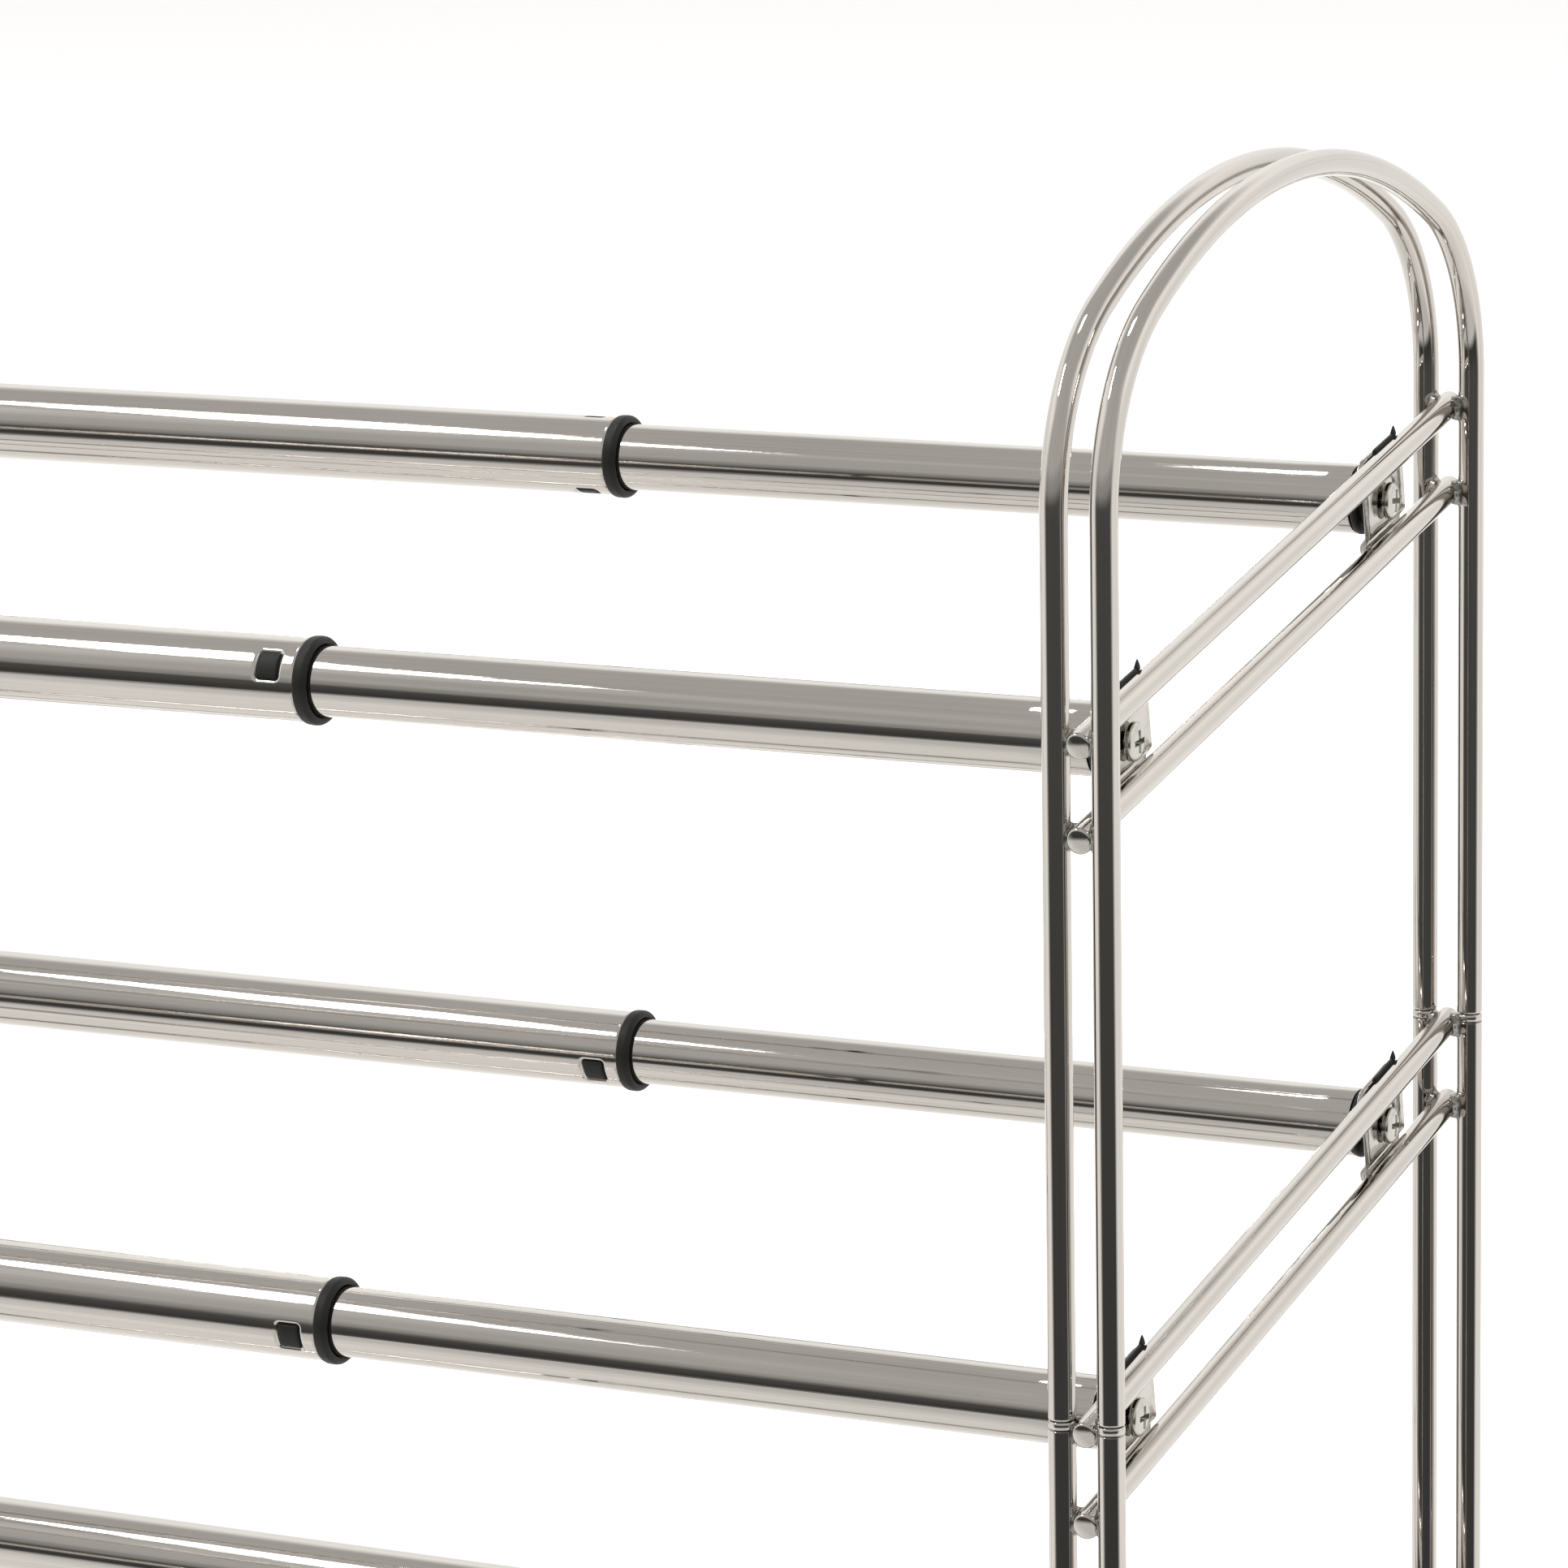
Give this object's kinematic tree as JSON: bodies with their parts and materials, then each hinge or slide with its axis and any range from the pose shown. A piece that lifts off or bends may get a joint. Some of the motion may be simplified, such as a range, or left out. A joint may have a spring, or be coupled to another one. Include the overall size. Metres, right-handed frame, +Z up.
{
  "type": "tiered shoe rack",
  "caption": "Expandable sloping shoe rack: chromed wire end frames with arched tops joined by telescoping tubular rails.",
  "frame": {"origin": "on the floor, at the centre of the footprint", "axes": "+X along the rails towards the thin inner tubes, +Y from the low front rail to the high rear rail, +Z up"},
  "size_m": [0.8288, 0.2282, 0.463],
  "materials": {
    "chrome": "bright chrome plate on 6 mm steel wire and thin-wall tube",
    "plated_steel": "bright plated pressed steel and screws",
    "black_plastic": "black moulded plastic, fine satin texture"
  },
  "bodies": {
    "left_lower": {"lower_end_frame_left": "chrome", "middle_front_outer_tube": "chrome", "middle_front_collar": "black_plastic", "middle_front_left_plug": "black_plastic", "middle_front_left_bracket": "plated_steel", "middle_front_left_screw": "plated_steel", "middle_rear_outer_tube": "chrome", "middle_rear_collar": "black_plastic", "middle_rear_left_plug": "black_plastic", "middle_rear_left_bracket": "plated_steel", "middle_rear_left_screw": "plated_steel", "bottom_front_outer_tube": "chrome", "bottom_front_collar": "black_plastic", "bottom_front_left_plug": "black_plastic", "bottom_front_left_bracket": "plated_steel", "bottom_front_left_screw": "plated_steel", "bottom_rear_outer_tube": "chrome", "bottom_rear_collar": "black_plastic", "bottom_rear_left_plug": "black_plastic", "bottom_rear_left_bracket": "plated_steel", "bottom_rear_left_screw": "plated_steel"},
    "right_lower": {"lower_end_frame_right": "chrome", "middle_front_inner_tube": "chrome", "middle_front_right_plug": "black_plastic", "middle_front_right_bracket": "plated_steel", "middle_front_right_screw": "plated_steel", "middle_rear_inner_tube": "chrome", "middle_rear_right_plug": "black_plastic", "middle_rear_right_bracket": "plated_steel", "middle_rear_right_screw": "plated_steel", "bottom_front_inner_tube": "chrome", "bottom_front_right_plug": "black_plastic", "bottom_front_right_bracket": "plated_steel", "bottom_front_right_screw": "plated_steel", "bottom_rear_inner_tube": "chrome", "bottom_rear_right_plug": "black_plastic", "bottom_rear_right_bracket": "plated_steel", "bottom_rear_right_screw": "plated_steel"},
    "left_upper": {"upper_end_frame_left": "chrome", "top_front_outer_tube": "chrome", "top_front_collar": "black_plastic", "top_front_left_plug": "black_plastic", "top_front_left_bracket": "plated_steel", "top_front_left_screw": "plated_steel", "top_rear_outer_tube": "chrome", "top_rear_collar": "black_plastic", "top_rear_left_plug": "black_plastic", "top_rear_left_bracket": "plated_steel", "top_rear_left_screw": "plated_steel"},
    "right_upper": {"upper_end_frame_right": "chrome", "top_front_inner_tube": "chrome", "top_front_right_plug": "black_plastic", "top_front_right_bracket": "plated_steel", "top_front_right_screw": "plated_steel", "top_rear_inner_tube": "chrome", "top_rear_right_plug": "black_plastic", "top_rear_right_bracket": "plated_steel", "top_rear_right_screw": "plated_steel"}
  },
  "joints": [
    {"name": "width_slide", "type": "slide", "parent": "left_lower", "child": "right_lower", "axis": [1, 0, 0], "range_m": [-0.178, 0.335]},
    {"name": "upper_lift_off", "type": "slide", "parent": "left_lower", "child": "left_upper", "axis": [0, 0, 1], "range_m": [0, 0.06]},
    {"name": "upper_width_slide", "type": "slide", "parent": "left_upper", "child": "right_upper", "axis": [1, 0, 0], "range_m": [-0.178, 0.335]}
  ],
  "couplings": [
    {"joint": "upper_width_slide", "follows": "width_slide", "ratio": 1}
  ]
}
